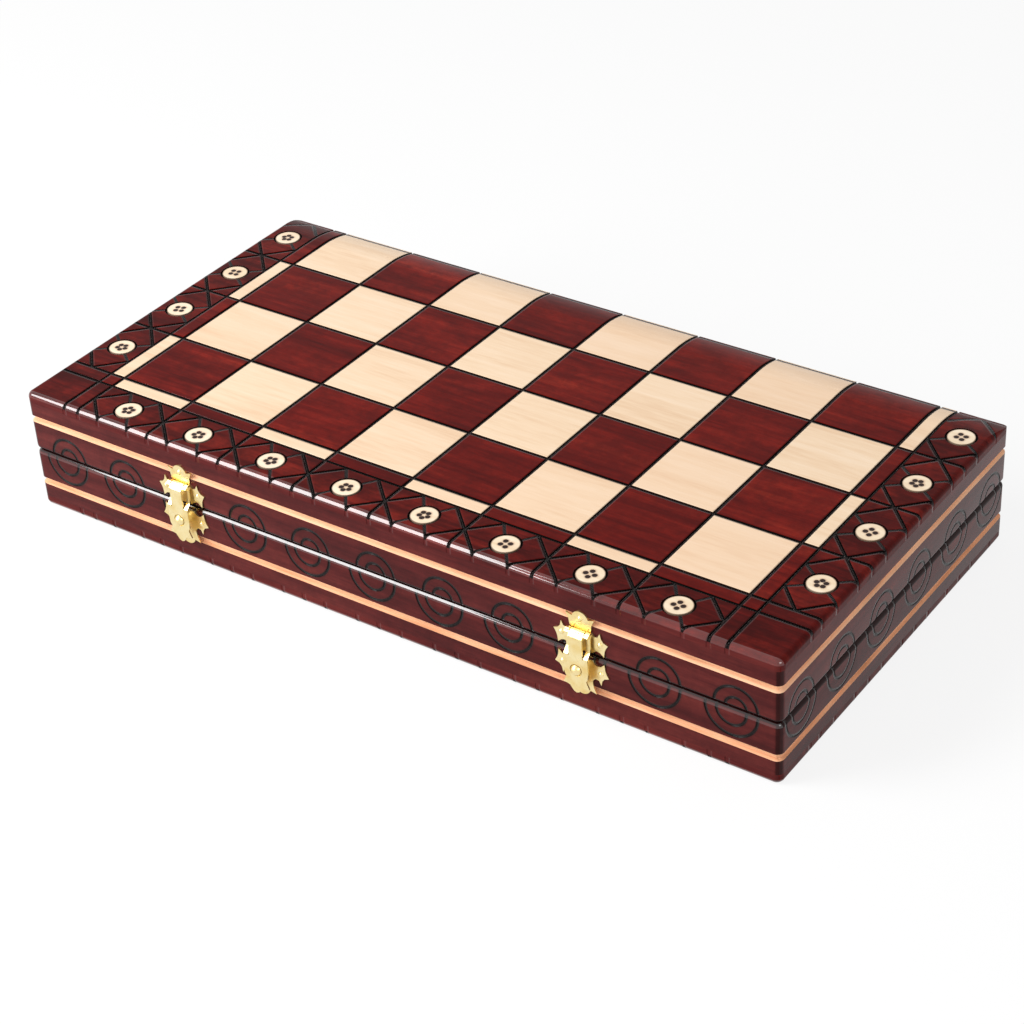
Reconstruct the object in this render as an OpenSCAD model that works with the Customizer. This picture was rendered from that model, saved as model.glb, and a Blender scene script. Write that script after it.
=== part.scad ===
// Folding chess box with a hinged lid: two framed halves, each with half a board on its
// outer face, butt hinges along the back and two brass hasps on the front.
// Length along X, front (hasps) towards -Y, hinge side towards +Y, resting on its lower board.

/* [Board] */
// Side of one square of the board
square = 50; // [44:0.5:56]
// Width of the narrow row of cells outside the squares
strip_w = 10; // [7:0.5:13]
// Border from the squares to the outer edge on the front and the two ends
margin = 39; // [34:0.5:46]
// Extra length of the last row of squares towards the hinge side
back_lip = 2; // [1:0.5:4]
// Width of the burnt grooves between the squares
line_w = 1.6; // [1:0.1:2.4]
// Thickness of the inlaid squares
inlay_t = 1.2; // [0.8:0.1:1.6]
// Thickness of each board panel
panel_t = 6; // [5.5:0.5:9]
// How far the playing face rolls down at the hinge edge
roll_drop = 3.6; // [2:0.2:3.8]
// Width of the rolled-down strip at the hinge edge
roll_w = 22; // [16:1:30]

/* [Case] */
// Height of one half, rim to outer face
half_h = 36.8; // [32:0.2:46]
// Gap between the two rims
seam = 0.4; // [0.3:0.1:0.8]
// Thickness of the side rails
rail_t = 9; // [8:0.5:14]
// Radius of the upright corners
corner_r = 4; // [3.2:0.2:7]
// Rounding of the outer edges of the boards
top_r = 3; // [1:0.2:3]
// Rounding of the rim edges along the seam
rim_r = 2.6; // [1:0.2:3]
// Thickness of the felt lining
felt_t = 1; // [0.5:0.1:2]

/* [Carving] */
// Distance of the light groove from the outer face
band_z = 16.5; // [14:0.5:20]
// Width of the light groove at its mouth
band_w = 4.1; // [3:0.1:5]
// Depth of the light groove
band_d = 1.8; // [1:0.1:2.4]
// Radius of the large burnt ring
ring_big = 14.8; // [12:0.2:16]
// Radius of the small burnt ring
ring_small = 8.1; // [6:0.1:10]
// Width of a ring's groove
ring_w = 1.3; // [0.8:0.1:2]
// Depth of a ring's groove
ring_d = 0.8; // [0.4:0.1:1.4]
// Spacing of the rings along the front
front_pitch = 42.7; // [38:0.1:44]
// Spacing of the rings along the ends
end_pitch = 40.4; // [36:0.1:42]
// Depth of the carved lines in the border
carve_d = 0.8; // [0.4:0.1:1.2]
// Radius of the light rosette discs
disc_r = 7.4; // [6:0.1:8]
// Width of the burnt groove round a disc
disc_gap = 1.2; // [0.8:0.1:1.8]

/* [Hinge] */
// Distance of each hinge from the middle of the box
hinge_x = 150; // [90:5:180]
// Length of a hinge leaf
leaf_l = 30; // [24:1:40]
// Thickness of a hinge leaf
leaf_t = 1; // [0.8:0.1:1.4]
// Width of a hinge leaf from the outer face of the rail
leaf_w = 7.8; // [7:0.1:8]
// Outer radius of the hinge knuckles
knuckle_r = 2.4; // [2.2:0.1:2.8]
// Radius of the hinge pin
hinge_pin_r = 1; // [0.7:0.1:1.2]
// Head radius of the hinge screws
screw_r = 1.6; // [1.2:0.1:1.8]

/* [Latch] */
// Thickness of the latch plates and of the hasp sheet
sheet_t = 0.8; // [0.6:0.1:1]
// Sideways distance of the wing nails from the latch's middle
wing_x = 11.2; // [10.5:0.1:13]
// Height of the wing nails from the seam
wing_z = 8.9; // [8.5:0.1:10.5]
// Height of the end lobe's nail from the seam
lobe_z = 20.2; // [19.5:0.1:22]
// Radius of the end lobe
lobe_r = 4.8; // [4.2:0.1:5.5]
// Head radius of the nails
nail_r = 1.4; // [1:0.1:1.8]
// Radius of the hasp's pin
pin_r = 0.6; // [0.5:0.05:0.7]
// Outer radius of the hasp's knuckles
barrel_r = 1.5; // [1.3:0.05:1.6]
// Height of the hasp's pin above the seam
pin_z = 13.8; // [13:0.1:14.5]
// Width of the raised strip of the hasp
strap_w = 8.4; // [7:0.1:9]
// Width of the whole hasp
hasp_w = 13.8; // [13:0.1:15]
// How far the face of the hasp stands off the box
hasp_out = 6; // [5.6:0.1:7.5]
// Radius of the catch stud
stud_r = 3; // [2.4:0.1:3.2]
// Depth of the catch stud's centre below the seam
stud_z = 7.2; // [6.5:0.1:8]

/* [Hidden] */

cols = 8;
rows = 4;
box_l = cols * square + 2 * margin;
box_d = rows * square + margin + back_lip;
grid_x = -cols * square / 2;
grid_y = -box_d / 2 + margin;
seam_z = half_h + seam / 2;
rail_h = half_h - panel_t;
roll_r = (roll_w * roll_w + roll_drop * roll_drop) / (2 * roll_drop);
half_line = line_w / 2;
star_mid = (margin + strip_w) / 2;
star_dx = 14.5;
star_dy = (margin - strip_w) / 2 - 0.6;
fit_gap = 0.3;
run_gap = 0.05;
hinge_y = box_d / 2 + seam / 2;
third = leaf_l / 3;
pin_out = sheet_t + fit_gap + barrel_r;
latch_x = 3 * front_pitch;
hole_r = stud_r + 0.5;
dome_r = 1.06;
dome_in = 0.35;
front_out = hasp_out + stud_r * (dome_r - dome_in);
back_out = seam / 2 + knuckle_r;
// Moves the case so that the origin lies under the middle of the whole object
shift_y = (front_out - back_out) / 2;
big = 600;

// A cutter that rounds an edge running along X; the rounding's axis is the local X axis
module edge_cut(len, r) {
    rotate([90, 0, 90]) linear_extrude(len, center = true) difference() {
        square(r + 1);
        circle(r, $fn = 64);
    }
}

// The same rounding taken round an upright corner of the case
module corner_edge_cut(r) {
    intersection() {
        rotate_extrude($fn = 64) translate([corner_r - r, 0]) difference() {
            square(r + 2);
            circle(r, $fn = 64);
        }
        translate([0, 0, -1]) cube(3 * corner_r);
    }
}

// What is taken off an upright corner
module corner_cut(h) {
    translate([0, 0, -1]) difference() {
        cube([corner_r + 1, corner_r + 1, h + 2]);
        cylinder(h + 2, r = corner_r, $fn = 64);
    }
}

module at_corners() {
    for (sx = [0, 1], sy = [0, 1])
        mirror([sx, 0, 0]) mirror([0, sy, 0])
            translate([box_l / 2 - corner_r, box_d / 2 - corner_r, 0]) children();
}

// Trapezoid groove along one side: x is the run, the mouth is at local y = 0, facing -y
module band_cut(len) {
    rotate([90, 0, 90]) linear_extrude(len, center = true)
        polygon([[-1, -band_w / 2 - 0.45], [band_d, -band_w / 2 + 0.9],
            [band_d, band_w / 2 - 0.5], [-1, band_w / 2 + 0.2]]);
}

// Two concentric burnt rings in a face that looks towards -y
module ring_cut() {
    rotate([90, 0, 0]) for (r = [ring_big, ring_small])
        rotate_extrude($fn = 96) translate([r - ring_w / 2, -ring_d]) square([ring_w, ring_d + 1]);
}

module front_rings() {
    for (i = [-5:5]) translate([i * front_pitch, -box_d / 2, -seam / 2]) ring_cut();
}

module end_rings(side) {
    for (i = [-2.5:1:2.5]) translate([side * box_l / 2, i * end_pitch, -seam / 2])
        rotate([0, 0, side * 90]) ring_cut();
}

// The mitred footprint of one rail: side 0 front, 1 right, 2 back, 3 left
module rail_plan(side) {
    a = box_l / 2;
    b = box_d / 2;
    c = a - rail_t;
    d = b - rail_t;
    if (side == 0) polygon([[-a, -b], [a, -b], [c, -d], [-c, -d]]);
    if (side == 1) polygon([[a, -b], [a, b], [c, d], [c, -d]]);
    if (side == 2) polygon([[a, b], [-a, b], [-c, d], [c, d]]);
    if (side == 3) polygon([[-a, b], [-a, -b], [-c, -d], [-c, d]]);
}

// One rail of a half, rim at z = 0, board side at z = rail_h
module rail(side) {
    difference() {
        linear_extrude(rail_h) rail_plan(side);
        at_corners() corner_cut(rail_h);
        at_corners() translate([0, 0, rim_r]) mirror([0, 0, 1]) corner_edge_cut(rim_r);
        for (s = [0, 1]) mirror([0, s, 0]) {
            translate([0, box_d / 2 - rim_r, rim_r]) mirror([0, 0, 1])
                edge_cut(box_l - 2 * corner_r, rim_r);
            translate([0, -box_d / 2, half_h - band_z]) band_cut(box_l + 10);
        }
        for (s = [0, 1]) mirror([s, 0, 0]) {
            translate([box_l / 2 - rim_r, 0, rim_r]) mirror([0, 0, 1]) rotate([0, 0, -90])
                edge_cut(box_d - 2 * corner_r, rim_r);
            translate([box_l / 2, 0, half_h - band_z]) rotate([0, 0, 90]) band_cut(box_d + 10);
        }
        if (side == 0) front_rings();
        if (side == 1) end_rings(1);
        if (side == 3) end_rings(-1);
        if (side == 2) for (s = [-1, 1]) translate([s * hinge_x, 0, 0]) hinge_mortise();
    }
}

// Space for one hinge in the back rail of a half, rim at z = 0
module hinge_mortise() {
    l = leaf_l + 2 * fit_gap;
    translate([-l / 2, box_d / 2 - leaf_w - fit_gap, -1]) cube([l, leaf_w + 5, leaf_t + 1]);
    translate([-l / 2, hinge_y, -seam / 2]) rotate([0, 90, 0])
        cylinder(l, r = knuckle_r + fit_gap, $fn = 64);
    for (s = [-1, 1]) translate([s * leaf_l * 0.32, screw_y(), 0])
        cylinder(leaf_t + 6, r = screw_r * 0.5, $fn = 32);
}

function screw_y() = box_d / 2 - leaf_w / 2 - knuckle_r / 2 - 0.2;

// Region under the playing face, seen along X, lowered by a given depth
module face_section(depth) {
    y0 = box_d / 2 - roll_w;
    translate([-box_d / 2 - 5, 0]) square([y0 + box_d / 2 + 5, half_h - depth]);
    intersection() {
        translate([y0, half_h - roll_r]) circle(roll_r - depth, $fn = 256);
        translate([y0 - 1, 0]) square([roll_w + 6, half_h]);
    }
}

module face_layer(depth_a, depth_b) {
    rotate([90, 0, 90]) linear_extrude(big, center = true) difference() {
        face_section(depth_a);
        if (depth_b > 0) face_section(depth_b);
    }
}

// Plan of the recessed field that holds the squares and the narrow cells
module field_plan() {
    translate([grid_x - strip_w - half_line, grid_y - strip_w - half_line])
        square([cols * square + 2 * strip_w + line_w, rows * square + strip_w + back_lip + 5]);
}

// A straight carved line in the border from point a to point b
module carved_line(a, b) {
    v = b - a;
    translate([a[0], a[1], half_h - carve_d]) rotate([0, 0, atan2(v[1], v[0])])
        translate([-0.2, -half_line, 0]) cube([norm(v) + 0.4, line_w, carve_d + 1]);
}

// The crossed lines of one border panel joint; half = -1 or 1 keeps one side only
module star(p, along, half) {
    n = [along[1], -along[0]];
    for (s = [-1, 1]) carved_line(p + (half == 0 ? -1 : 0) * s * (along * star_dx + n * star_dy * s),
        p + (half < 0 ? -1 : 1) * s * (half == 0 ? 1 : s) * along * star_dx
            + (half == 0 ? 1 : s) * n * star_dy);
}

module border_lines() {
    far_y = -box_d / 2 - 1;
    far_x = box_l / 2 + 1;
    for (x = [-strip_w, for (i = [0:cols]) i * square, cols * square + strip_w])
        carved_line([grid_x + x, grid_y - strip_w], [grid_x + x, far_y]);
    for (s = [-1, 1], y = [-strip_w, for (j = [0:rows - 1]) j * square])
        carved_line([s * (-grid_x + strip_w), grid_y + y], [s * far_x, grid_y + y]);
    for (i = [0:cols])
        star([grid_x + i * square, grid_y - star_mid], [1, 0], i == 0 ? 1 : i == cols ? -1 : 0);
    for (s = [-1, 1], j = [0:rows - 1])
        star([s * (-grid_x + star_mid), grid_y + j * square], [0, 1], j == 0 ? 1 : 0);
}

// Middles of the rosettes round the border
function disc_places() = [
    for (i = [0:cols - 1]) [grid_x + (i + 0.5) * square, grid_y - star_mid],
    for (s = [-1, 1], j = [0:rows - 1]) [s * (-grid_x + star_mid), grid_y + (j + 0.5) * square]];

// Board panel of a half with its sunk field, carved border and pockets for the discs
module board() {
    difference() {
        intersection() {
            translate([-box_l / 2, -box_d / 2, rail_h]) cube([box_l, box_d, panel_t]);
            face_layer(0, 0);
        }
        at_corners() corner_cut(half_h);
        translate([0, -box_d / 2 + top_r, half_h - top_r]) mirror([0, 1, 0])
            edge_cut(box_l - 2 * corner_r, top_r);
        for (s = [0, 1]) mirror([s, 0, 0]) {
            translate([box_l / 2 - top_r, corner_r / 2, half_h - top_r]) rotate([0, 0, -90])
                edge_cut(box_d - corner_r, top_r);
            mirror([0, 1, 0]) translate([box_l / 2 - corner_r, box_d / 2 - corner_r, half_h - top_r])
                corner_edge_cut(top_r);
        }
        intersection() {
            linear_extrude(big) field_plan();
            face_layer(-5, inlay_t);
        }
        border_lines();
        for (p = disc_places()) translate([p[0], p[1], half_h - 2 * inlay_t]) intersection() {
            translate([0, 0, inlay_t]) cylinder(inlay_t + 1, r = disc_r + disc_gap, $fn = 64);
            translate([-p[0], -p[1], 2 * inlay_t - half_h]) face_layer(-5, inlay_t);
        }
    }
}

// Squares of one colour; odd = 0 takes the corner square next to the front left
module squares(odd) {
    intersection() {
        face_layer(0, inlay_t);
        for (i = [0:cols - 1], j = [0:rows - 1]) if ((i + j) % 2 == odd)
            translate([grid_x + i * square + half_line, grid_y + j * square + half_line, 0])
                cube([square - line_w,
                    square - (j == rows - 1 ? half_line - back_lip : line_w), half_h + 1]);
    }
}

// Cells of the narrow row; corners = true adds the two corner blocks
module cells(odd, corners) {
    w = strip_w - line_w;
    intersection() {
        face_layer(0, inlay_t);
        union() {
            for (i = [0:cols - 1]) if (i % 2 == odd)
                translate([grid_x + i * square + half_line, grid_y - strip_w + half_line, 0])
                    cube([square - line_w, w, half_h + 1]);
            for (s = [0, 1], j = [0:rows - 1]) if ((j + s * (cols - 1)) % 2 == odd)
                mirror([s, 0, 0])
                translate([grid_x - strip_w + half_line, grid_y + j * square + half_line, 0])
                    cube([w, square - (j == rows - 1 ? half_line - back_lip : line_w), half_h + 1]);
            if (corners) for (s = [0, 1]) mirror([s, 0, 0])
                translate([grid_x - strip_w + half_line, grid_y - strip_w + half_line, 0])
                    cube([w, w, half_h + 1]);
        }
    }
}

module discs() {
    intersection() {
        face_layer(0, inlay_t);
        for (p = disc_places()) translate([p[0], p[1], 0]) cylinder(half_h + 1, r = disc_r, $fn = 64);
    }
}

module lining() {
    translate([-box_l / 2 + rail_t + 0.1, -box_d / 2 + rail_t + 0.1, rail_h - felt_t])
        cube([box_l - 2 * rail_t - 0.2, box_d - 2 * rail_t - 0.2, felt_t]);
}

// One leaf lies in the rim of a half (rim at z = 0); outer picks the two outer knuckles
module leaf(outer) {
    y0 = box_d / 2 - leaf_w;
    y1 = hinge_y - knuckle_r - fit_gap;
    difference() {
        union() {
            translate([-leaf_l / 2, y0, 0]) cube([leaf_l, y1 - y0, leaf_t]);
            for (k = outer ? [-1, 1] : [0]) {
                l = third - fit_gap;
                translate([k * (third + fit_gap / 4) - l / 2, 0, 0]) {
                    translate([0, y1 - 0.5, 0]) cube([l, hinge_y - y1 + 0.5 - hinge_pin_r, leaf_t]);
                    translate([0, hinge_y, -seam / 2]) rotate([0, 90, 0])
                        cylinder(l, r = knuckle_r, $fn = 48);
                }
            }
        }
        translate([-leaf_l, hinge_y, -seam / 2]) rotate([0, 90, 0])
            cylinder(2 * leaf_l, r = hinge_pin_r + run_gap, $fn = 48);
        for (s = [-1, 1]) translate([s * leaf_l * 0.32, screw_y(), -1])
            cylinder(leaf_t + 2, r = screw_r + run_gap, $fn = 32);
    }
}

module leaf_screws() {
    for (s = [-1, 1]) translate([s * leaf_l * 0.32, screw_y(), 0]) {
        cylinder(leaf_t, r = screw_r, $fn = 32);
        cylinder(leaf_t + 5.5, r = screw_r * 0.5 - run_gap, $fn = 32);
    }
}

module lid_place() { translate([0, shift_y, seam_z + seam / 2]) children(); }
module lower_place() { translate([0, shift_y, seam_z - seam / 2]) mirror([0, 0, 1]) children(); }
module at_hinges() { for (s = [-1, 1]) translate([s * hinge_x, 0, 0]) children(); }
module at_latches() { for (s = [-1, 1]) at_latch(s) children(); }
module at_latch(s) { translate([s * latch_x, shift_y - box_d / 2, seam_z]) children(); }

// Outline of the right half of a latch plate, z measured from the seam
function plate_half() = [
    [0, lobe_z], [lobe_r - 0.4, lobe_z + 1.2], [lobe_r + 3.4, lobe_z + 2.2],
    [lobe_r + 1.9, lobe_z - 1.2], [lobe_r + 1.3, lobe_z - 5.4],
    [wing_x - 3.2, wing_z + 3.9], [wing_x - 1.2, wing_z + 4.4], [wing_x, wing_z + 7],
    [wing_x + 0.7, wing_z + 3.9], [wing_x + 2, wing_z + 2.2], [wing_x + 4.6, wing_z + 1.2],
    [wing_x + 3.4, wing_z - 0.8], [wing_x + 2.6, wing_z - 3], [wing_x + 2.2, wing_z - 6.6],
    [wing_x, wing_z - 4.6], [wing_x - 2, wing_z - 4.2], [wing_x - 3.6, wing_z - 5.2],
    [wing_x - 4.8, wing_z - 6.6], [0, wing_z - 6.6]];

function mirrored(p) = concat(p, [for (i = [len(p) - 2:-1:1]) [-p[i][0], p[i][1]]]);

module sheet(out) {
    translate([0, -out, 0]) rotate([90, 0, 0]) linear_extrude(sheet_t) children();
}

module plate() {
    sheet(0) {
        polygon(mirrored(plate_half()));
        translate([0, lobe_z]) circle(lobe_r, $fn = 48);
    }
}

// Round-headed nail on a plate
module nail(x, z) {
    translate([x, -sheet_t, z]) rotate([90, 0, 0]) intersection() {
        cylinder(2, r = nail_r, $fn = 32);
        translate([0, 0, 0.9 - nail_r * 1.25]) sphere(r = nail_r * 1.25, $fn = 48);
    }
}

module nails() {
    for (s = [-1, 1]) nail(s * wing_x, wing_z);
    nail(0, lobe_z + 0.6);
}

module along_x(w) {
    rotate([90, 0, 90]) linear_extrude(w, center = true) children();
}

// Upper plate with the middle knuckle that carries the hasp's pin
module upper_plate() {
    difference() {
        union() {
            plate();
            translate([0, -pin_out, pin_z]) rotate([0, 90, 0])
                cylinder(strap_w - 2 * fit_gap, r = barrel_r, center = true, $fn = 48);
            along_x(strap_w - 2 * fit_gap)
                polygon([[-sheet_t / 2, pin_z - barrel_r], [-pin_out, pin_z - barrel_r],
                    [-pin_out, pin_z + fit_gap], [-sheet_t / 2, pin_z + fit_gap]]);
        }
        translate([0, -pin_out, pin_z]) rotate([0, 90, 0])
            cylinder(3 * strap_w, r = pin_r + 0.02, center = true, $fn = 48);
    }
}

// Catch stud on its boss, standing on the lower plate
module stud() {
    translate([0, -sheet_t, -stud_z]) rotate([90, 0, 0]) {
        cylinder(hasp_out - 2 * sheet_t - fit_gap, r = stud_r + 1.2, $fn = 48);
        cylinder(hasp_out - sheet_t, r = stud_r, $fn = 48);
        translate([0, 0, hasp_out - sheet_t]) intersection() {
            cylinder(stud_r, r = stud_r, $fn = 48);
            translate([0, 0, -stud_r * dome_in]) sphere(r = stud_r * dome_r, $fn = 64);
        }
    }
}

// Outline of the lower part of the hasp, right half, z measured from the seam
function hasp_half() = [
    [0, 0.6], [hasp_w / 2, 0.6], [hasp_w / 2 + 0.2, -stud_z], [hasp_w / 2 - 0.2, -stud_z - 3.4],
    [hasp_w / 2 - 1.1, -stud_z - 5.2], [hasp_w / 2 - 0.4, -stud_z - 7],
    [hasp_w / 2 + 0.7, -stud_z - 9.4], [hasp_w / 2 - 1.2, -stud_z - 9.6],
    [hasp_w / 2 - 3, -stud_z - 10], [2.6, -stud_z - 11.8], [1.4, -stud_z - 13.2],
    [0, -stud_z - 13.7]];

// The swinging hasp: side arms with knuckles, a raised middle strip and a lobed tip
module hasp() {
    arm_w = (hasp_w - strap_w) / 2;
    inner = hasp_out - sheet_t;
    ridge = pin_z - 1.2;
    difference() {
        union() {
            sheet(inner) polygon(mirrored(hasp_half()));
            // raised strip with its sloping roof
            along_x(strap_w - 0.4) polygon([[-inner, 0], [-inner, ridge - 0.4],
                [-pin_out - barrel_r - 0.35, pin_z - 0.3], [-pin_out - barrel_r - 0.35, pin_z + 0.9],
                [-hasp_out, ridge], [-hasp_out, 0]]);
            for (s = [-1, 1]) translate([s * (hasp_w - arm_w + fit_gap) / 2, 0, 0]) {
                translate([0, -pin_out, pin_z]) rotate([0, 90, 0])
                    cylinder(arm_w - fit_gap, r = barrel_r, center = true, $fn = 48);
                // arm from the knuckle down to the face
                along_x(arm_w - fit_gap) polygon([[-pin_out + 0.4, pin_z - barrel_r + 0.6],
                    [-pin_out - 0.4, pin_z - barrel_r + 0.6], [-pin_out - 0.6, 4.2],
                    [-hasp_out, 1.2], [-hasp_out, 0], [-inner, 0], [-inner, 0.9],
                    [-pin_out + 0.2, 3.9]]);
            }
            // the crosspiece that ties the knuckles to the roof
            for (s = [-1, 1]) translate([s * (strap_w - 0.4 + arm_w) / 2, 0, 0])
                along_x(arm_w + 0.2) polygon([
                    [-pin_out - barrel_r + (hasp_out > 0 ? 0.5 : 0), pin_z - 0.3],
                    [-pin_out - barrel_r + 0.5, pin_z + 0.9],
                    [-pin_out - barrel_r - 0.35, pin_z + 0.9],
                    [-pin_out - barrel_r - 0.9, pin_z + 0.2],
                    [-pin_out - barrel_r - 0.9, pin_z - 0.3]]);
        }
        translate([0, -pin_out, pin_z]) rotate([0, 90, 0])
            cylinder(3 * hasp_w, r = pin_r + run_gap, center = true, $fn = 48);
        translate([0, 0, pin_z]) translate([0, -pin_out, 0]) rotate([0, 90, 0])
            cylinder(strap_w - 0.4, r = barrel_r + fit_gap, center = true, $fn = 48);
        translate([0, 1, -stud_z]) rotate([90, 0, 0]) cylinder(20, r = hole_r, $fn = 64);
    }
}

stain = [0.36, 0.09, 0.06];
pale = [0.97, 0.88, 0.75];
brass = [0.88, 0.74, 0.4];
felt = [0.16, 0.3, 0.18];

module lower_front_rail() { color(stain) lower_place() rail(0); }
module lower_right_rail() { color(stain) lower_place() rail(1); }
module lower_back_rail() { color(stain) lower_place() rail(2); }
module lower_left_rail() { color(stain) lower_place() rail(3); }
module lower_board() { color(stain) lower_place() board(); }
module lower_dark_squares() { color(stain) lower_place() squares(1); }
module lower_light_squares() { color(pale) lower_place() squares(0); }
module lower_dark_cells() { color(stain) lower_place() cells(0, true); }
module lower_light_cells() { color(pale) lower_place() cells(1, false); }
module lower_rosettes() { color(pale) lower_place() discs(); }
module lower_lining() { color(felt) lower_place() lining(); }
module lower_hinge_leaves() { color(brass) lower_place() at_hinges() leaf(true); }
module lower_hinge_screws() { color(brass) lower_place() at_hinges() leaf_screws(); }
module latch_lower_plates() { color(brass) at_latches() mirror([0, 0, 1]) plate(); }
module latch_lower_nails() { color(brass) at_latches() mirror([0, 0, 1]) nails(); }
module latch_studs() { color(brass) at_latches() stud(); }
module lid_front_rail() { color(stain) lid_place() rail(0); }
module lid_right_rail() { color(stain) lid_place() rail(1); }
module lid_back_rail() { color(stain) lid_place() rail(2); }
module lid_left_rail() { color(stain) lid_place() rail(3); }
module lid_board() { color(stain) lid_place() board(); }
module lid_dark_squares() { color(stain) lid_place() squares(0); }
module lid_light_squares() { color(pale) lid_place() squares(1); }
module lid_dark_cells() { color(stain) lid_place() cells(1, true); }
module lid_light_cells() { color(pale) lid_place() cells(0, false); }
module lid_rosettes() { color(pale) lid_place() discs(); }
module lid_lining() { color(felt) lid_place() lining(); }
module lid_hinge_leaves() { color(brass) lid_place() at_hinges() leaf(false); }
module lid_hinge_screws() { color(brass) lid_place() at_hinges() leaf_screws(); }
module hinge_pins() {
    color(brass) at_hinges() translate([0, shift_y + hinge_y, seam_z]) rotate([0, 90, 0])
        cylinder(leaf_l, r = hinge_pin_r, center = true, $fn = 48);
}
module latch_upper_plates() { color(brass) at_latches() upper_plate(); }
module latch_upper_nails() { color(brass) at_latches() nails(); }
module latch_pins() {
    color(brass) at_latches() translate([0, -pin_out, pin_z]) rotate([0, 90, 0])
        cylinder(hasp_w, r = pin_r, center = true, $fn = 48);
}
module left_hasp() { color(brass) at_latch(-1) hasp(); }
module right_hasp() { color(brass) at_latch(1) hasp(); }

lower_front_rail();
lower_back_rail();
lower_left_rail();
lower_right_rail();
lower_board();
lower_dark_squares();
lower_light_squares();
lower_dark_cells();
lower_light_cells();
lower_rosettes();
lower_lining();
lower_hinge_leaves();
lower_hinge_screws();
latch_lower_plates();
latch_lower_nails();
latch_studs();
lid_front_rail();
lid_back_rail();
lid_left_rail();
lid_right_rail();
lid_board();
lid_dark_squares();
lid_light_squares();
lid_dark_cells();
lid_light_cells();
lid_rosettes();
lid_lining();
lid_hinge_leaves();
lid_hinge_screws();
hinge_pins();
latch_upper_plates();
latch_upper_nails();
latch_pins();
left_hasp();
right_hasp();
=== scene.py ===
import math

import bpy
import bmesh
from mathutils import Matrix, Vector


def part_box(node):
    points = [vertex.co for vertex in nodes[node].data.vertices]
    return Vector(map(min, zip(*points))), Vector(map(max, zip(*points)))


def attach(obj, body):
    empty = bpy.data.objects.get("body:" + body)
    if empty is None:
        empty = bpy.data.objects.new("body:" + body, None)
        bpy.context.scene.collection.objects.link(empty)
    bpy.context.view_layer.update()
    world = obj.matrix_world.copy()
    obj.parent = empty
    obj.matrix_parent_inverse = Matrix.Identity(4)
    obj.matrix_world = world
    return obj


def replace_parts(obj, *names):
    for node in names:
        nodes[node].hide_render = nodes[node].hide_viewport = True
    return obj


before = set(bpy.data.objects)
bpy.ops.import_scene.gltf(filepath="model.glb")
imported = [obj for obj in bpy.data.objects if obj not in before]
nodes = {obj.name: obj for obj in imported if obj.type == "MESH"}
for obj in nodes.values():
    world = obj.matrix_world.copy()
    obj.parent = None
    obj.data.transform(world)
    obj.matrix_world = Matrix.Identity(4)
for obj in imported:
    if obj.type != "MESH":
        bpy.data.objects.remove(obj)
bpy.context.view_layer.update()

# ---- sizes, all in metres and taken from the frame
MM = 0.001
board_lo, board_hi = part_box("lid_board")
field_lo, field_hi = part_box("lid_dark_squares")
LINE = 1.6 * MM
SQUARE = (field_hi.x - field_lo.x + LINE) / 8
GRID_X = field_lo.x - LINE / 2
GRID_Y = field_lo.y - LINE / 2
HALF_L = board_hi.x
FRONT_Y, BACK_Y = board_lo.y, board_hi.y
MID_Y = (FRONT_Y + BACK_Y) / 2
TOP_Z = board_hi.z
SEAM_Z = TOP_Z / 2
STRIP = 10 * MM
MARGIN = GRID_Y - FRONT_Y
STAR_MID = (MARGIN + STRIP) / 2
STAR_DX, STAR_DY = 14.5 * MM, (MARGIN - STRIP) / 2 - 0.6 * MM
DISC_R = 7.4 * MM
ROLL_W, ROLL_DROP = 22 * MM, 3.6 * MM
ROLL_R = (ROLL_W ** 2 + ROLL_DROP ** 2) / (2 * ROLL_DROP)
DRAWN_LINE = 2.1 * MM
CORNER_R, TOP_R, RIM_R = 4 * MM, 3 * MM, 2.6 * MM
RAIL_T, RAIL_H = 9 * MM, 30.8 * MM
BAND_Z = 16.5 * MM
BAND_OFF = SEAM_Z - BAND_Z
BAND_HALF = 2.05 * MM
SEAM_GAP = 0.2 * MM
# burnt rings: they are larger in the lower half, and the halves' arcs miss each other
RING_R = (12.0 * MM, 5.8 * MM)
RING_GROW = 2.4 * MM
RING_UP, RING_DOWN = 1.2 * MM, 1.8 * MM
RING_HALF = 0.8 * MM
# spacing of the charred beads, and how far they stop short of the board's edge
BEAD, EDGE = 1.35 * MM, 1.4 * MM
FRONT_SLIP, END_SLIP = 2.5 * MM, 0.0
FRONT_PITCH, END_PITCH = 42.7 * MM, 40.4 * MM


# ---- camera, at the photograph's viewing angle
def make_camera():
    az, el, roll = (math.radians(v) for v in (36.595, 34.198, -3.555))
    dist, focal = 1.312994, 2475.664
    target = Vector((0.029336, -0.034865, 0.037))
    back = Vector((math.sin(az) * math.cos(el), -math.cos(az) * math.cos(el), math.sin(el)))
    right = Vector((math.cos(az), math.sin(az), 0))
    up = back.cross(right)
    turned_right = right * math.cos(roll) + up * math.sin(roll)
    turned_up = up * math.cos(roll) - right * math.sin(roll)
    data = bpy.data.cameras.new("camera")
    data.sensor_width = 36
    data.lens = focal / 1024 * 36
    cam = bpy.data.objects.new("camera", data)
    rot = Matrix((turned_right, turned_up, back)).transposed()
    cam.matrix_world = Matrix.Translation(target + back * dist) @ rot.to_4x4()
    bpy.context.scene.collection.objects.link(cam)
    bpy.context.scene.camera = cam


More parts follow.
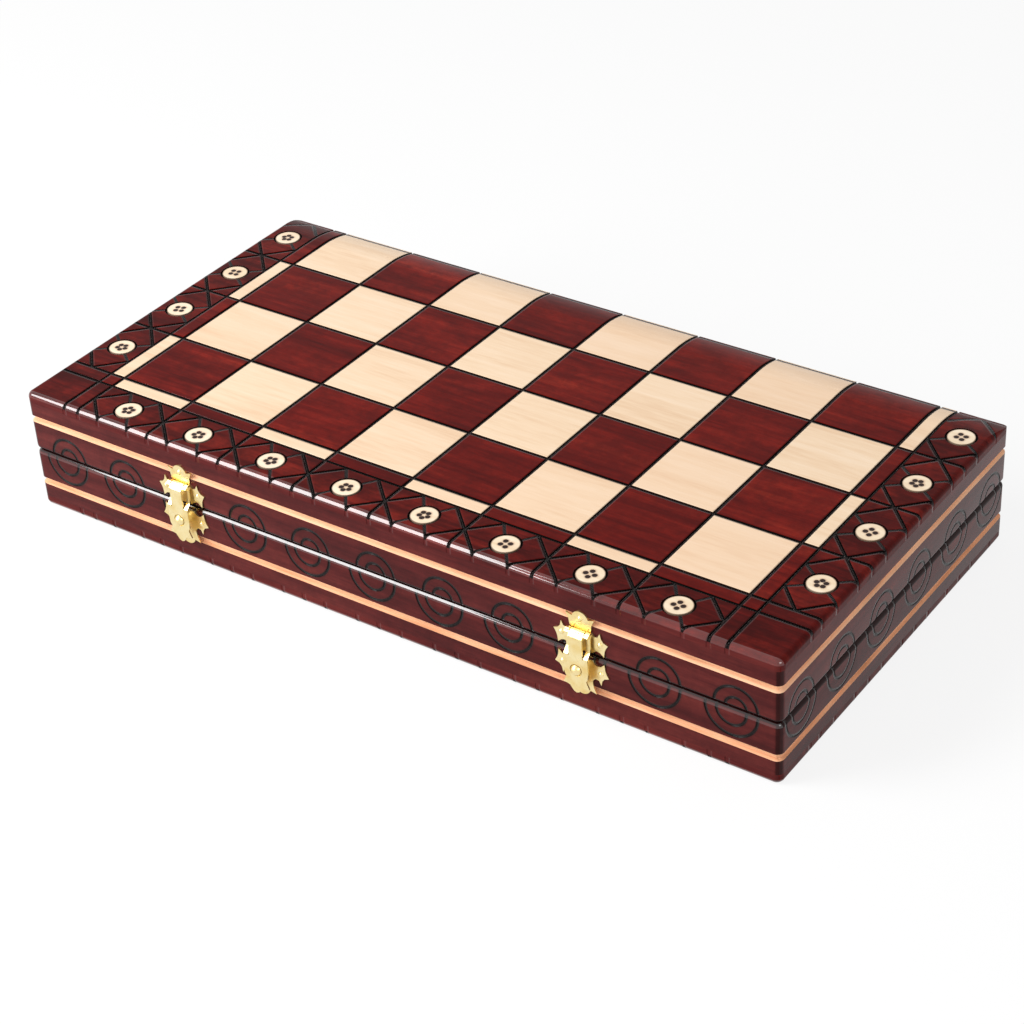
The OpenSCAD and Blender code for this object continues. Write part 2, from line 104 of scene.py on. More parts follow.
# ---- numbers on a surface, written with Python operators and kept as maths nodes
class Fn:
    def __init__(self, tree, out):
        self.tree, self.out = tree, out

    def op(self, name, *others, clamp=False):
        n = self.tree.nodes.new("ShaderNodeMath")
        n.operation = name
        n.use_clamp = clamp
        for i, v in enumerate((self,) + others):
            if isinstance(v, Fn):
                self.tree.links.new(v.out, n.inputs[i])
            else:
                n.inputs[i].default_value = v
        return Fn(self.tree, n.outputs[0])

    def __add__(self, o): return self.op("ADD", o)
    def __sub__(self, o): return self.op("SUBTRACT", o)
    def __mul__(self, o): return self.op("MULTIPLY", o)
    def __truediv__(self, o): return self.op("DIVIDE", o)
    def abs(self): return self.op("ABSOLUTE")
    def floor(self): return self.op("FLOOR")
    def sin(self): return self.op("SINE")
    def low(self, o): return self.op("MINIMUM", o)
    def high(self, o): return self.op("MAXIMUM", o)
    def over(self, v): return self.op("GREATER_THAN", v)
    def under(self, v): return self.op("LESS_THAN", v)
    def inv(self): return self.op("MULTIPLY_ADD", -1.0, 1.0)

    def inside(self, width, soft):
        """1 where the distance is under width, with a soft edge."""
        return self.op("MULTIPLY_ADD", -1.0 / soft, width / soft + 0.5, clamp=True)

    def span(self, a, b, c=0.0, d=1.0):
        n = self.tree.nodes.new("ShaderNodeMapRange")
        self.tree.links.new(self.out, n.inputs[0])
        for i, v in enumerate((a, b, c, d), 1):
            n.inputs[i].default_value = v
        return Fn(self.tree, n.outputs[0])


def length2(u, v):
    return (u * u + v * v).op("SQRT")


class Surface:
    """One material with its shader, rest coordinates and a few handy makers."""

    def __init__(self, name):
        self.mat = bpy.data.materials.new(name)
        self.mat.use_nodes = True
        self.tree = self.mat.node_tree
        self.shader = self.tree.nodes["Principled BSDF"]
        coord = self.tree.nodes.new("ShaderNodeTexCoord")
        self.vec = coord.outputs["Object"]
        split = self.tree.nodes.new("ShaderNodeSeparateXYZ")
        self.tree.links.new(self.vec, split.inputs[0])
        self.x, self.y, self.z = (Fn(self.tree, split.outputs[i]) for i in range(3))

    def set(self, **values):
        names = {"rough": "Roughness", "metal": "Metallic", "spec": "Specular IOR Level",
                 "coat_ior": "Coat IOR", "coat_rough": "Coat Roughness", "sheen": "Sheen Weight"}
        for k, v in values.items():
            self.shader.inputs[names[k]].default_value = v

    def vector(self, x, y, z):
        n = self.tree.nodes.new("ShaderNodeCombineXYZ")
        for i, v in enumerate((x, y, z)):
            if isinstance(v, Fn):
                self.tree.links.new(v.out, n.inputs[i])
            else:
                n.inputs[i].default_value = v
        return n.outputs[0]

    def noise(self, vec, scale, detail=3.0, rough=0.5, distort=0.0):
        n = self.tree.nodes.new("ShaderNodeTexNoise")
        self.tree.links.new(vec, n.inputs["Vector"])
        n.inputs["Scale"].default_value = scale
        n.inputs["Detail"].default_value = detail
        n.inputs["Roughness"].default_value = rough
        n.inputs["Distortion"].default_value = distort
        return Fn(self.tree, n.outputs[0])

    def stretched(self, sx, sy, sz):
        n = self.tree.nodes.new("ShaderNodeVectorMath")
        n.operation = "MULTIPLY"
        self.tree.links.new(self.vec, n.inputs[0])
        n.inputs[1].default_value = (sx, sy, sz)
        return n.outputs[0]

    def shifted(self, vec, amount):
        n = self.tree.nodes.new("ShaderNodeVectorMath")
        n.operation = "ADD"
        self.tree.links.new(vec, n.inputs[0])
        self.tree.links.new(self.vector(amount, amount * 1.7, amount * 0.6), n.inputs[1])
        return n.outputs[0]

    def chance(self, a, b, seed):
        n = self.tree.nodes.new("ShaderNodeTexWhiteNoise")
        self.tree.links.new(self.vector(a, b, seed), n.inputs["Vector"])
        return Fn(self.tree, n.outputs[0])

    def ramp(self, fac, *stops):
        n = self.tree.nodes.new("ShaderNodeValToRGB")
        self.tree.links.new(fac.out, n.inputs[0])
        els = n.color_ramp.elements
        while len(els) < len(stops):
            els.new(0.5)
        for e, (pos, col) in zip(els, stops):
            e.position = pos
            e.color = (*col, 1)
        return n.outputs[0]

    def mix(self, fac, a, b):
        n = self.tree.nodes.new("ShaderNodeMix")
        n.data_type = "RGBA"
        if isinstance(fac, Fn):
            self.tree.links.new(fac.out, n.inputs[0])
        else:
            n.inputs[0].default_value = fac
        for i, v in ((6, a), (7, b)):
            if isinstance(v, tuple):
                n.inputs[i].default_value = (*v, 1)
            else:
                self.tree.links.new(v, n.inputs[i])
        return n.outputs[2]

    def colour(self, out):
        self.tree.links.new(out, self.shader.inputs["Base Color"])

    def rough(self, fn):
        self.tree.links.new(fn.out, self.shader.inputs["Roughness"])

    def coat(self, fn):
        self.tree.links.new(fn.out, self.shader.inputs["Coat Weight"])

    def bump(self, height, distance):
        n = self.tree.nodes.new("ShaderNodeBump")
        n.inputs["Strength"].default_value = 1.0
        n.inputs["Distance"].default_value = distance
        self.tree.links.new(height.out, n.inputs["Height"])
        self.tree.links.new(n.outputs[0], self.shader.inputs["Normal"])


BLACK = (0.006, 0.004, 0.004)
RAIL_STAIN = ((0.34, (0.036, 0.0070, 0.0072)), (0.5, (0.078, 0.0120, 0.0118)),
              (0.68, (0.130, 0.022, 0.019)))


def grain(s, along, shift=None):
    """Streaks that run along one axis: broad tone, fine fibres and short dark pores."""
    long_, cross = 5.0, 60.0
    def vec(k):
        v = [cross * k] * 3
        v["xyz".index(along)] = long_ * k
        out = s.stretched(*v)
        return s.shifted(out, shift) if shift is not None else out
    broad = s.noise(vec(1.0), 1.0, 3.0, 0.55, 0.6)
    fibre = s.noise(vec(5.0), 1.0, 4.0, 0.6)
    pores = s.noise(vec(14.0), 1.0, 2.0, 0.5)
    return broad, fibre, pores


def rope(s):
    """Beaded hatch of the knurled burning tool."""
    k = 2 * math.pi / (1.5 * MM)
    wob = s.noise(s.vec, 900.0, 2.0) * 1.6
    return ((s.x * k + s.y * k * 0.55 + wob).sin() * (s.y * k - s.x * k * 0.3 + wob).sin())


def tile_ids(s):
    i = ((s.x - GRID_X) / SQUARE).floor()
    j = ((s.y - GRID_Y) / SQUARE).floor()
    return i, j


def edge_distance(s):
    """Distance to the nearest burnt line of the board."""
    def dist(c, origin):
        t = (c - origin) / SQUARE
        return (t - (t + 0.5).floor()).abs() * SQUARE
    d = dist(s.x, GRID_X).low(dist(s.y, GRID_Y))
    d = d.low(((s.x.abs() + GRID_X) - STRIP).abs()).low((s.y - (GRID_Y - STRIP)).abs())
    return d


def scorched(d):
    """Black next to a burnt line."""
    return d.inside(DRAWN_LINE / 2, 0.22 * MM)


def lip(d):
    """The surface dips towards a burnt line, so that its far edge catches the light."""
    return d.span(0.75 * MM, 1.55 * MM)


def mottle(s):
    """Dark clouds where the stain has taken unevenly, 0 to 1."""
    big = s.noise(s.stretched(1.0, 1.8, 1.0), 34.0, 4.0, 0.62, 0.8)
    small = s.noise(s.vec, 210.0, 3.0, 0.6)
    return (big * 0.65 + small * 0.35).span(0.40, 0.62)


def dark_squares():
    s = Surface("dark_wood_gloss")
    i, j = tile_ids(s)
    pick = s.chance(i, j, 3.0)
    broad, fibre, pores = grain(s, "x", pick * 30.0)
    tone = broad * 0.62 + fibre * 0.3 + pores * 0.12
    col = s.ramp(tone, (0.36, (0.050, 0.0026, 0.0020)), (0.47, (0.125, 0.0052, 0.0034)),
                 (0.57, (0.200, 0.0105, 0.0058)), (0.70, (0.30, 0.024, 0.011)))
    col = s.mix(mottle(s).inv() * 0.6, col, (0.050, 0.0024, 0.0022))
    col = s.mix((pick - 0.5).abs() * 0.6, col, (0.085, 0.004, 0.003))
    d = edge_distance(s)
    col = s.mix(scorched(d), col, BLACK)
    s.colour(col)
    s.set(spec=0.04, rough=0.1)
    wave = s.noise(s.vec, 55.0, 2.0) * 0.36 + fibre * 0.06
    s.bump(lip(d) + wave, 0.0005)
    return s.mat


def light_squares():
    s = Surface("light_wood_gloss")
    i, j = tile_ids(s)
    pick = s.chance(i, j, 11.0)
    broad, fibre, pores = grain(s, "x", pick * 40.0)
    tone = broad * 0.5 + fibre * 0.35 + pores * 0.2
    col = s.ramp(tone, (0.34, (0.76, 0.52, 0.33)), (0.52, (0.86, 0.645, 0.445)),
                 (0.72, (0.92, 0.73, 0.545)))
    col = s.mix(pick * 0.3, col, (0.84, 0.55, 0.37))
    d = edge_distance(s)
    col = s.mix(scorched(d), col, (0.02, 0.008, 0.006))
    s.colour(col)
    s.set(spec=0.12, rough=0.16)
    s.bump(lip(d) + fibre * 0.12 + s.noise(s.vec, 60.0, 2.0) * 0.12, 0.0005)
    return s.mat


def stained(s, along):
    broad, fibre, pores = grain(s, along)
    tone = broad * 0.55 + fibre * 0.33 + pores * 0.15
    return tone, fibre, pores


def board():
    """The lacquered border and the black floor of the sunk field."""
    s = Surface("board_lacquer")
    tone, fibre, pores = stained(s, "x")
    col = s.ramp(tone, (0.36, (0.040, 0.0026, 0.0024)), (0.49, (0.098, 0.0050, 0.0038)),
                 (0.64, (0.20, 0.014, 0.008)))
    col = s.mix(mottle(s).inv() * 0.7, col, (0.032, 0.0022, 0.0020))
    xa = s.x.abs()
    b = s.y - GRID_Y
    front = b.under(-STRIP - LINE / 2)
    side = xa.over(-GRID_X + STRIP + LINE / 2)
    field = (front.high(side)).inv()
    tx, ty = (s.x - GRID_X) / SQUARE, b / SQUARE
    ux = (tx - (tx + 0.5).floor()) * SQUARE
    uy = (ty - (ty + 0.5).floor()) * SQUARE
    # straight lines across the border
    d = ux.abs() + xa.over(-GRID_X + STRIP / 2) * 1.0
    d = d.low((xa - (-GRID_X + STRIP)).abs()) + front.inv() * 1.0
    e = uy.abs() + b.under(-STRIP / 2) * 1.0
    e = e.low((b + STRIP).abs()) + side.inv() * 1.0
    line = d.low(e)
    # crossed lines between the rosettes
    n = math.hypot(STAR_DX, STAR_DY)
    v = (b + STAR_MID).abs()
    f = (ux.abs() * (STAR_DY / n) - v * (STAR_DX / n)).abs()
    f = f + ux.abs().over(STAR_DX + 0.4 * MM) + front.inv() + xa.over(-GRID_X)
    v = (xa - (-GRID_X + STAR_MID)).abs()
    g = (uy.abs() * (STAR_DY / n) - v * (STAR_DX / n)).abs()
    g = g + uy.abs().over(STAR_DX + 0.4 * MM) + side.inv() + b.under(0.0)
    cross = f.low(g)
    # grooves round the rosettes
    hx, hy = (tx - tx.floor() - 0.5) * SQUARE, (ty - ty.floor() - 0.5) * SQUARE
    r1 = length2(hx, b + STAR_MID) + front.inv() + xa.over(-GRID_X)
    r2 = length2(hy, xa - (-GRID_X + STAR_MID)) + side.inv() + b.under(0.0)
    ring = (r1.low(r2) - (DISC_R + 0.4 * MM)).abs()
    # short lines from the ends of the crossed ones to the rosette's groove
    ex, ey = SQUARE / 2 - STAR_DX, STAR_DY
    reach = math.hypot(ex, ey)
    def tick(u, v, r):
        off = (u.abs() * (ey / reach) - v.abs() * (ex / reach)).abs()
        return off + r.under(DISC_R) + r.over(reach + 0.4 * MM)
    ticks = tick(hx, b + STAR_MID, r1).low(tick(hy, xa - (-GRID_X + STAR_MID), r2)
                                           + b.over(SQUARE * 3.5))
    mask = line.inside(DRAWN_LINE / 2, 0.3 * MM)
    mask = mask.high(cross.inside(DRAWN_LINE / 2 - 0.1 * MM, 0.3 * MM))
    mask = mask.high(ticks.inside(0.8 * MM, 0.3 * MM))
    mask = mask.high(ring.inside(0.9 * MM, 0.4 * MM)).high(field)
    # the underside and the inner face of a panel stay plain
    outer = (s.z - SEAM_Z).abs().over(SEAM_Z - TOP_R + 0.3 * MM)
    mask = mask * outer
    # the panel's upright edge has the rails' stain
    edge = s.y.under(FRONT_Y + 1.0 * MM).high(xa.over(HALF_L - 1.0 * MM)) * outer.inv()
    col = s.mix(edge, col, s.ramp(tone, *RAIL_STAIN))
    col = s.mix(mask, col, BLACK)
    s.colour(col)
    s.set(spec=0.04, rough=0.09, coat_rough=0.06, coat_ior=1.6)
    s.coat(s.y.under(FRONT_Y + TOP_R) * outer * mask.inv())
    near = line.low(cross).low(ticks + 0.3 * MM)
    h = lip(near) + rope(s) * mask * 0.3 + s.noise(s.vec, 60.0, 2.0) * 0.35 + fibre * 0.05
    s.bump(h, 0.0005)
    return s.mat


def rail(name, along, pitch, half_steps, side, slip=0.0, lower_rim_shade=1.4 * MM, shine=0.06):
    """A side rail: satin stain, the bare-wood groove with a painted highlight on one bevel, the burnt
    rings, and painted shade on the rounded corners and rims.
    """
    s = Surface(name)
    tone, fibre, pores = stained(s, along)
    col = s.ramp(tone, *RAIL_STAIN)
    col = s.mix(mottle(s).inv() * 0.4, col, (0.030, 0.0060, 0.0065))
    zz = (s.z - SEAM_Z).abs()
    near = (HALF_L - 2.6 * MM, BACK_Y - MID_Y - 2.6 * MM)
    outer = s.x.abs().over(near[0]).high((s.y - MID_Y).abs().over(near[1]))
    # bare wood in the groove, with a painted highlight: the bevel nearest the seam is painted paler
    # than the rest
    off = zz - BAND_OFF
    groove = off.abs().inside(BAND_HALF + 0.02 * MM, 0.12 * MM) * outer
    bare = s.ramp(fibre * 0.6 + tone * 0.4, (0.32, (0.56, 0.27, 0.14)), (0.5, (0.76, 0.41, 0.24)),
                  (0.68, (0.86, 0.54, 0.35)))
    # painted highlight: the bevel nearest the seam is mixed towards pale wood
    bare = s.mix(off.span(-2.0 * MM, -0.9 * MM, 0.4, 0.0), bare, (0.90, 0.64, 0.43))
    col = s.mix(groove, col, bare)
    burnt = None
    if pitch:
        c = s.x if along == "x" else s.y - MID_Y
        low = s.z.under(SEAM_Z)
        t = (c + (low - 0.5) * slip) / pitch + half_steps
        u = (t - (t + 0.5).floor()) * pitch
        r = length2(u, zz - low * (RING_DOWN - RING_UP) - RING_UP) - low * RING_GROW
        d = (r - RING_R[0]).abs().low((r - RING_R[1]).abs())
        d = d + side(s).inv()
        burnt = d.inside(RING_HALF, 0.3 * MM)
        trough = d.span(0.0, RING_HALF + 0.15 * MM)
        scorch = d.inside(RING_HALF + 0.5 * MM, 1.2 * MM) * 0.45
        col = s.mix(scorch, col, (0.03, 0.008, 0.007))
        col = s.mix(burnt, col, BLACK)
    # painted shade: the rounded upright corners and the rims at the seam are painted nearly black
    corner = (s.x.abs() - (HALF_L - 3.2 * MM)).low((s.y - MID_Y).abs()
                                                   - (BACK_Y - MID_Y - 3.2 * MM))
    col = s.mix(corner.span(0.0, 0.7 * MM) * groove.inv() * 0.75, col, (0.012, 0.0025, 0.0025))
    # painted shade on the rims at the seam; the last argument sets its width on the lower half
    rim = (zz + s.z.under(SEAM_Z) * (2.3 * MM - lower_rim_shade)).inside(2.3 * MM, 0.7 * MM) * outer
    col = s.mix(rim * 0.93, col, (0.010, 0.002, 0.002))
    s.colour(col)
    h = s.noise(s.vec, 70.0, 2.0) * 0.1 + fibre * 0.04
    s.set(spec=shine, coat_rough=0.06, coat_ior=1.6)
    if burnt is not None:
        h = h + trough + burnt * s.noise(s.vec, 1100.0, 2.0) * 0.3
    s.rough(groove * 0.4 - rim * 0.1 + 0.2)
    s.coat(s.z.under(SEAM_Z) * zz.under(RIM_R) * s.y.under(FRONT_Y + RIM_R))
    s.bump(h, 0.0008)
    return s.mat


def disc():
    """Pale rosette disc with a flower of burnt dots."""
    s = Surface("rosette_wood")
    b = s.y - GRID_Y
    on_side = s.x.abs().over(-GRID_X + STRIP)
    tx, ty = (s.x - GRID_X) / SQUARE, b / SQUARE
    hx, hy = (tx - tx.floor() - 0.5) * SQUARE, (ty - ty.floor() - 0.5) * SQUARE
    sx = s.x.abs() - (-GRID_X + STAR_MID)
    u = hx * on_side.inv() + sx * on_side
    v = (b + STAR_MID) * on_side.inv() + hy * on_side
    r = length2(u, v)
    pick = s.chance(tx.floor(), ty.floor(), 5.0)
    dots = pick.over(0.62) * -1.0 + 5.0
    ang = v.op("ARCTAN2", u) * dots / (2 * math.pi) + pick
    fold = (ang - (ang + 0.5).floor()) * (dots.op("POWER", -1.0) * (2 * math.pi))
    du, dv = r * fold.op("COSINE") - 2.5 * MM, r * fold.sin()
    d = length2(du, dv)
    dot = d.inside(1.4 * MM, 0.4 * MM)
    glow = d.inside(1.9 * MM, 1.2 * MM) * 0.5
    broad, fibre, pores = grain(s, "x")
    col = s.ramp(fibre * 0.5 + broad * 0.5, (0.35, (0.80, 0.61, 0.40)), (0.6, (0.94, 0.79, 0.60)))
    col = s.mix(glow, col, (0.40, 0.16, 0.07))
    col = s.mix(dot, col, (0.022, 0.008, 0.006))
    rim = (r - DISC_R).abs().inside(0.35 * MM, 0.6 * MM)
    col = s.mix(rim * 0.8, col, (0.10, 0.035, 0.02))
    s.colour(col)
    s.set(spec=0.12, rough=0.16)
    s.bump(dot * -1.0 + s.noise(s.vec, 90.0, 2.0) * 0.1, 0.0006)
    return s.mat


def burnt_line():
    """Charred beads that the burning wheel leaves in the carved lines."""
    s = Surface("burnt_line")
    s.colour(s.ramp(s.noise(s.vec, 700.0, 2.0), (0.4, (0.003, 0.002, 0.002)),
                    (0.7, (0.014, 0.008, 0.007))))
    s.set(spec=0.12, rough=0.14)
    s.bump(s.noise(s.vec, 1500.0, 2.0), 0.0002)
    return s.mat


def brass(name, base, dark, rough):
    s = Surface(name)
    patch = s.noise(s.vec, 140.0, 3.0)
    col = s.mix(patch.span(0.4, 0.7), base, dark)
    speck = s.noise(s.vec, 1500.0, 2.0)
    col = s.mix(speck.span(0.62, 0.75) * 0.35, col, (0.45, 0.28, 0.07))
    s.colour(col)
    s.set(metal=1.0)
    s.rough(patch.span(0.3, 0.7, rough, rough + 0.12))
    s.bump(s.noise(s.vec, 300.0, 2.0) + speck * 0.2, 0.00007)
    return s.mat


def felt():
    s = Surface("felt_green")
    fuzz = s.noise(s.vec, 1400.0, 3.0, 0.7)
    cloud = s.noise(s.vec, 22.0, 3.0)
    col = s.ramp(fuzz * 0.6 + cloud * 0.4, (0.35, (0.010, 0.040, 0.018)), (0.65, (0.028, 0.095, 0.042)))
    s.colour(col)
    s.set(rough=0.95, spec=0.05, sheen=0.12)
    s.bump(fuzz, 0.0006)
    return s.mat


# ---- charred beads in the carved lines of the board
def face_height(x, y):
    """Height of the playing face above its flat part: the roll at the back, the rounded edges."""
    t = max(0.0, y - (BACK_Y - ROLL_W))
    e = max(0.0, TOP_R - min(HALF_L - abs(x), y - FRONT_Y))
    return math.sqrt(ROLL_R ** 2 - t * t) - ROLL_R + math.sqrt(TOP_R ** 2 - e * e) - TOP_R


def bead_points(n=8):
    """One low dome: a foot ring, a shoulder ring and the top, as (along, across, up)."""
    out = []
    for r, up in ((0.68, -0.42), (0.5, -0.06)):
        for k in range(n):
            a = 2 * math.pi * k / n
            out.append((r * MM * math.cos(a), r * 1.15 * MM * math.sin(a), up * MM))
    return out + [(0.0, 0.0, 0.12 * MM)]


def bead_faces(n=8):
    return ([(k, (k + 1) % n, n + (k + 1) % n, n + k) for k in range(n)]
            + [(n + k, n + (k + 1) % n, 2 * n) for k in range(n)])


def bead_rows(flip):
    """Beads in every carved line, lying on the bottom of its groove."""
    shape, skin = bead_points(), bead_faces()
    verts, faces = [], []
    for a, b in line_ends():
        a, b = Vector(a), Vector(b)
        count = max(2, round((b - a).length / BEAD))
        d = (b - a).normalized()
        for k in range(count):
            p = a + (b - a) * ((k + 0.5) / count)
            base = len(verts)
            z = TOP_Z + face_height(p.x, p.y) - 0.3 * MM
            for u, w, up in shape:
                q = (p.x + d.x * u - d.y * w, p.y + d.y * u + d.x * w, z + up)
                verts.append((q[0], q[1], 2 * SEAM_Z - q[2]) if flip else q)
            faces += [tuple(base + i for i in (reversed(f) if flip else f)) for f in skin]
    return verts, faces


def line_ends():
    gx, gy = -GRID_X, GRID_Y
    out = []
    for i in range(9):
        x = -gx + i * SQUARE
        out.append(((x, FRONT_Y + EDGE), (x, BACK_Y - EDGE)))
    for s in (-1, 1):
        x = s * (gx + STRIP)
        out.append(((x, FRONT_Y + EDGE), (x, BACK_Y - EDGE)))
    for j in range(4):
        y = gy + j * SQUARE
        out.append(((-HALF_L + EDGE, y), (HALF_L - EDGE, y)))
    out.append(((-HALF_L + EDGE, gy - STRIP), (HALF_L - EDGE, gy - STRIP)))
    mid = gy - STAR_MID
    for i in range(9):
        x = -gx + i * SQUARE
        for s in (-1, 1):
            p = (x - (STAR_DX if i else 0), mid - (s * STAR_DY if i else 0))
            q = (x + (STAR_DX if i < 8 else 0), mid + (s * STAR_DY if i < 8 else 0))
            out.append((p, q))
    reach = math.hypot(SQUARE / 2 - STAR_DX, STAR_DY)
    inner = (DISC_R + 1.6 * MM) / reach
    for sx in (-1, 1):
        for sy in (-1, 1):
            u, v = sx * (SQUARE / 2 - STAR_DX), sy * STAR_DY
            for i in range(8):
                c = -gx + (i + 0.5) * SQUARE
                out.append(((c + u, mid + v), (c + u * inner, mid + v * inner)))
            for e in (-1, 1):
                for j in range(4 if sx < 0 else 3):
                    c, m = gy + (j + 0.5) * SQUARE, e * (gx + STAR_MID)
                    out.append(((m + v, c + u), (m + v * inner, c + u * inner)))
    for e in (-1, 1):
        mx = e * (gx + STAR_MID)
        for j in range(4):
            y = gy + j * SQUARE
            for s in (-1, 1):
                p = (mx - (s * STAR_DY if j else 0), y - (STAR_DX if j else 0))
                out.append((p, (mx + s * STAR_DY, y + STAR_DX)))
    return out


def burnt_beads(name, body, flip, mat):
    verts, faces = bead_rows(flip)
    me = bpy.data.meshes.new(name)
    me.from_pydata(verts, [], faces)
    me.polygons.foreach_set("use_smooth", [True] * len(faces))
    ob = bpy.data.objects.new(name, me)
    bpy.context.scene.collection.objects.link(ob)
    me.materials.append(mat)
    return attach(ob, body)


# ---- front and end rails without the solid's plain ring grooves, and the felt
def rail_profile():
    """(depth behind the outer face, height above the rim) round one rail."""
    out = [(RAIL_T, 0.0)]
    for k in range(9):
        a = math.pi / 2 * k / 8
        out.append((RIM_R - RIM_R * math.sin(a), RIM_R - RIM_R * math.cos(a)))
    mid = SEAM_Z - SEAM_GAP - BAND_Z
    out += [(0.0, mid - 2.02 * MM), (1.8 * MM, mid - 1.15 * MM), (1.8 * MM, mid + 1.55 * MM),
            (0.0, mid + 2.0 * MM), (0.0, RAIL_H), (RAIL_T, RAIL_H)]
    return out


def corner_path(depth, sx, sy):
    """Plan points round one upright corner, from its front or back face to its end face."""
    cx, cy = HALF_L - CORNER_R, (BACK_Y - FRONT_Y) / 2 - CORNER_R
    if depth >= CORNER_R:
        r, d = 0.0, depth - CORNER_R
    else:
        r, d = CORNER_R - depth, 0.0
    out = []
    for k in range(9):
        a = math.pi / 2 * k / 8
        out.append((sx * (cx - d + r * math.sin(a)), MID_Y + sy * (cy - d + r * math.cos(a))))
    return out


def rail_piece(name, side, low, mat):
    """Side 0 is the front, 1 the right end, 3 the left end; each runs from mitre to mitre."""
    bm = bmesh.new()
    ends = {0: ((-1, -1), (1, -1)), 1: ((1, -1), (1, 1)), 3: ((-1, 1), (-1, -1))}[side]
    rings = []
    for depth, up in rail_profile():
        a, b = (corner_path(depth, *e) for e in ends)
        path = a[4::-1] + b[:5] if side == 0 else a[4:] + b[:3:-1]
        z = SEAM_Z - SEAM_GAP - up if low else SEAM_Z + SEAM_GAP + up
        rings.append([bm.verts.new((x, y, z)) for x, y in path])
    n = len(rings)
    for i in range(n):
        r0, r1 = rings[i], rings[(i + 1) % n]
        for k in range(len(r0) - 1):
            f = bm.faces.new((r0[k], r0[k + 1], r1[k + 1], r1[k]))
            f.smooth = 1 <= i <= 8 or k not in (0, len(r0) - 2)
    for k in (0, -1):
        bm.faces.new([r[k] for r in rings])
    bmesh.ops.remove_doubles(bm, verts=bm.verts, dist=1e-7)
    bmesh.ops.recalc_face_normals(bm, faces=bm.faces)
    ob = finish_mesh(name, bm, mat, "lower_half" if low else "lid")
    ob.data.set_sharp_from_angle(angle=math.radians(28))
    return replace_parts(ob, ("lower_" if low else "lid_") + {0: "front", 1: "right", 3: "left"}[side]
                       + "_rail")


def finish_mesh(name, bm, mat, body):
    me = bpy.data.meshes.new(name)
    bm.to_mesh(me)
    bm.free()
    ob = bpy.data.objects.new(name, me)
    bpy.context.scene.collection.objects.link(ob)
    me.materials.append(mat)
    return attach(ob, body)


def felt_sheet(name, node, body, mat):
    """The felt as a soft sheet: its cut edges are rounded and its face is slightly uneven."""
    lo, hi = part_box(node)
    bm = bmesh.new()
    nx, ny = 96, 48
    thick = hi.z - lo.z
    out_z, in_z = (hi.z, lo.z) if lo.z > SEAM_Z else (lo.z, hi.z)
    grid = []
    for j in range(ny + 1):
        row = []
        for i in range(nx + 1):
            x, y = lo.x + (hi.x - lo.x) * i / nx, lo.y + (hi.y - lo.y) * j / ny
            edge = min(i, nx - i, j, ny - j)
            dip = 0.55 if edge == 0 else 0.07 * (1 + math.sin(x * 310) * math.sin(y * 270 + x * 90))
            row.append(bm.verts.new((x, y, in_z + (out_z - in_z) * dip)))
        grid.append(row)
    for j in range(ny):
        for i in range(nx):
            bm.faces.new((grid[j][i], grid[j][i + 1], grid[j + 1][i + 1], grid[j + 1][i])).smooth = True
    rim = ([grid[0][i] for i in range(nx)] + [grid[j][nx] for j in range(ny)]
           + [grid[ny][i] for i in range(nx, 0, -1)] + [grid[j][0] for j in range(ny, 0, -1)])
    foot = [bm.verts.new((v.co.x, v.co.y, out_z)) for v in rim]
    for k in range(len(rim)):
        m = (k + 1) % len(rim)
        bm.faces.new((rim[m], rim[k], foot[k], foot[m]))
    bm.faces.new(foot)
    bmesh.ops.recalc_face_normals(bm, faces=bm.faces)
    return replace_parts(finish_mesh(name, bm, mat, body), node)


def dress(mat, *names):
    for name in names:
        ob = nodes[name]
        ob.data.materials.clear()
        ob.data.materials.append(mat)


def dress_all():
    top = board()
    dark, light, ros = dark_squares(), light_squares(), disc()
    front = rail("rail_front", "x", FRONT_PITCH, 0.0, lambda s: s.y.under(FRONT_Y + 1.6 * MM),
                 FRONT_SLIP)
    back = rail("rail_back", "x", None, 0.0, None)
    ends = rail("rail_ends", "y", END_PITCH, 0.5, lambda s: s.x.abs().over(HALF_L - 1.6 * MM),
                END_SLIP, 2.8 * MM, 0.1)
    gold = brass("brass_latch", (0.90, 0.76, 0.42), (0.80, 0.60, 0.24), 0.26)
    dull = brass("brass_hinge", (0.80, 0.62, 0.30), (0.62, 0.45, 0.2), 0.32)
    cloth = felt()
    for half in ("lid", "lower"):
        dress(top, half + "_board")
        dress(dark, half + "_dark_squares", half + "_dark_cells")
        dress(light, half + "_light_squares", half + "_light_cells")
        dress(ros, half + "_rosettes")
        dress(back, half + "_back_rail")
        low = half == "lower"
        rail_piece(half + "_front_side", 0, low, front)
        rail_piece(half + "_right_side", 1, low, ends)
        rail_piece(half + "_left_side", 3, low, ends)
        felt_sheet(half + "_felt", half + "_lining", "lower_half" if low else "lid", cloth)
        dress(dull, half + "_hinge_leaves", half + "_hinge_screws")
    dress(dull, "hinge_pins")
    dress(gold, "latch_upper_plates", "latch_upper_nails", "latch_lower_plates",
          "latch_lower_nails", "latch_studs", "latch_pins", "left_hasp", "right_hasp")
    char = burnt_line()
    burnt_beads("lid_burnt_lines", "lid", False, char)
    burnt_beads("lower_burnt_lines", "lower_half", True, char)


# ---- studio
def seen_rays(tree):
    """1 for camera, glossy and transmission rays, which all see the same background."""
    lp = tree.nodes.new("ShaderNodeLightPath")
    kinds = ("Is Camera Ray", "Is Glossy Ray", "Is Transmission Ray")
    a, b, c = (Fn(tree, lp.outputs[k]) for k in kinds)
    return a.high(b).high(c)


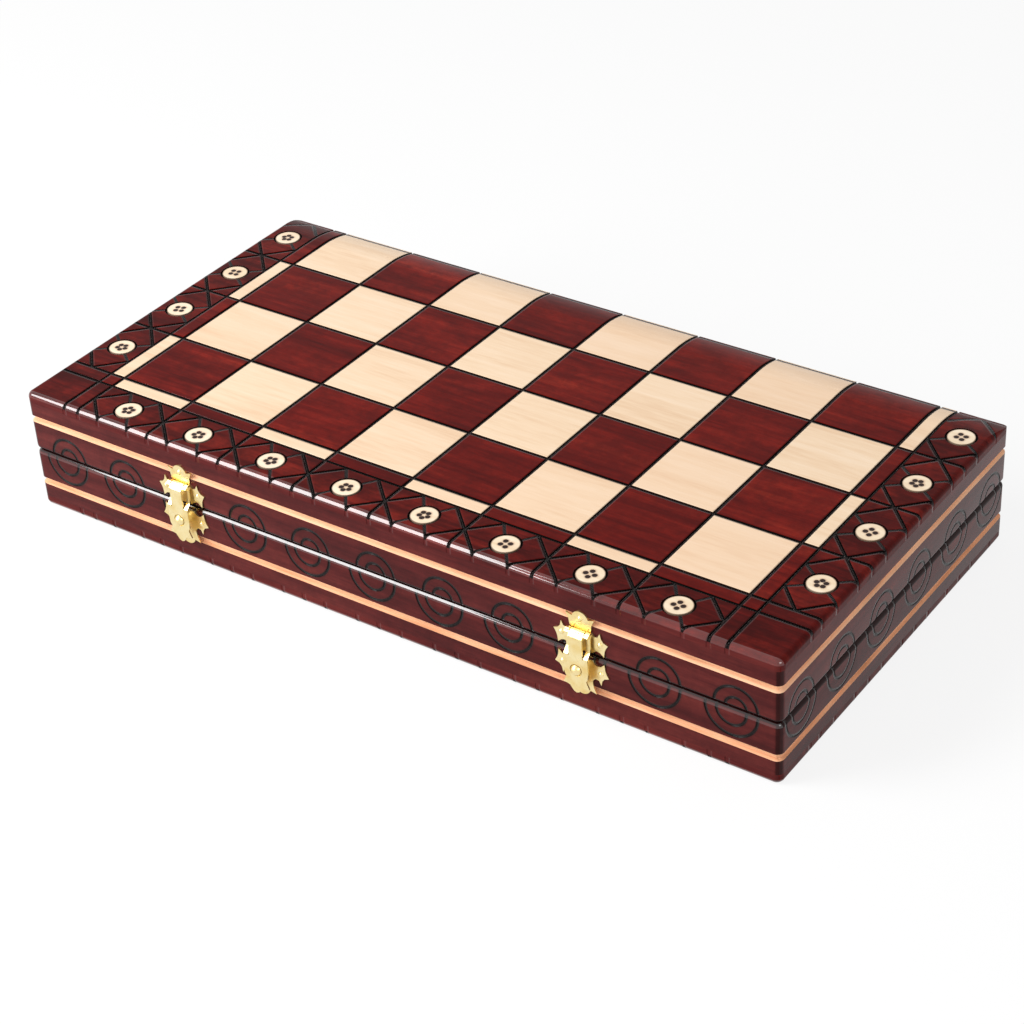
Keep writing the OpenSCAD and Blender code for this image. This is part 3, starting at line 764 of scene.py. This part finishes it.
def make_floor():
    bpy.ops.mesh.primitive_plane_add(size=24, location=(0, 0, 0))
    floor = bpy.context.object
    floor.name = "floor"
    mat = bpy.data.materials.new("floor")
    mat.use_nodes = True
    tree = mat.node_tree
    sh = tree.nodes["Principled BSDF"]
    sh.inputs["Base Color"].default_value = (0.93, 0.93, 0.93, 1)
    sh.inputs["Roughness"].default_value = 1.0
    sh.inputs["Specular IOR Level"].default_value = 0.0
    glow = tree.nodes.new("ShaderNodeEmission")
    glow.inputs[0].default_value = (1, 1, 1, 1)
    glow.inputs[1].default_value = 1.0
    mixer = tree.nodes.new("ShaderNodeMixShader")
    tree.links.new((seen_rays(tree) * 0.84).out, mixer.inputs[0])
    tree.links.new(sh.outputs[0], mixer.inputs[1])
    tree.links.new(glow.outputs[0], mixer.inputs[2])
    tree.links.new(mixer.outputs[0], tree.nodes["Material Output"].inputs[0])
    floor.data.materials.append(mat)


def make_world():
    world = bpy.data.worlds.new("studio")
    bpy.context.scene.world = world
    world.use_nodes = True
    tree = world.node_tree
    bg = tree.nodes["Background"]
    seen = seen_rays(tree)
    strength = seen + seen.inv() * 0.36
    tree.links.new(strength.out, bg.inputs[1])
    bg.inputs[0].default_value = (1, 1, 1, 1)


def softbox(name, place, aim, size, power, long_side=(0, 0, 1)):
    data = bpy.data.lights.new(name, "AREA")
    data.shape = "RECTANGLE"
    data.size, data.size_y = size
    data.energy = power
    ob = bpy.data.objects.new(name, data)
    back = (Vector(place) - Vector(aim)).normalized()
    side = Vector(long_side).cross(back).normalized()
    rot = Matrix((side, back.cross(side), back)).transposed()
    ob.matrix_world = Matrix.Translation(place) @ rot.to_4x4()
    bpy.context.scene.collection.objects.link(ob)


def make_lights():
    # the strip lies where the rounded front edges mirror it towards the camera
    softbox("strip", (-0.98, -1.05, 0.95), (0, 0, 0.04), (0.6, 1.6), 40, (0, 1, 1))
    softbox("fill", (1.6, -0.8, 1.1), (0, 0, 0.04), (0.9, 0.9), 12)


make_camera()
make_world()
make_floor()
make_lights()
dress_all()
bpy.context.scene.view_settings.view_transform = "Standard"
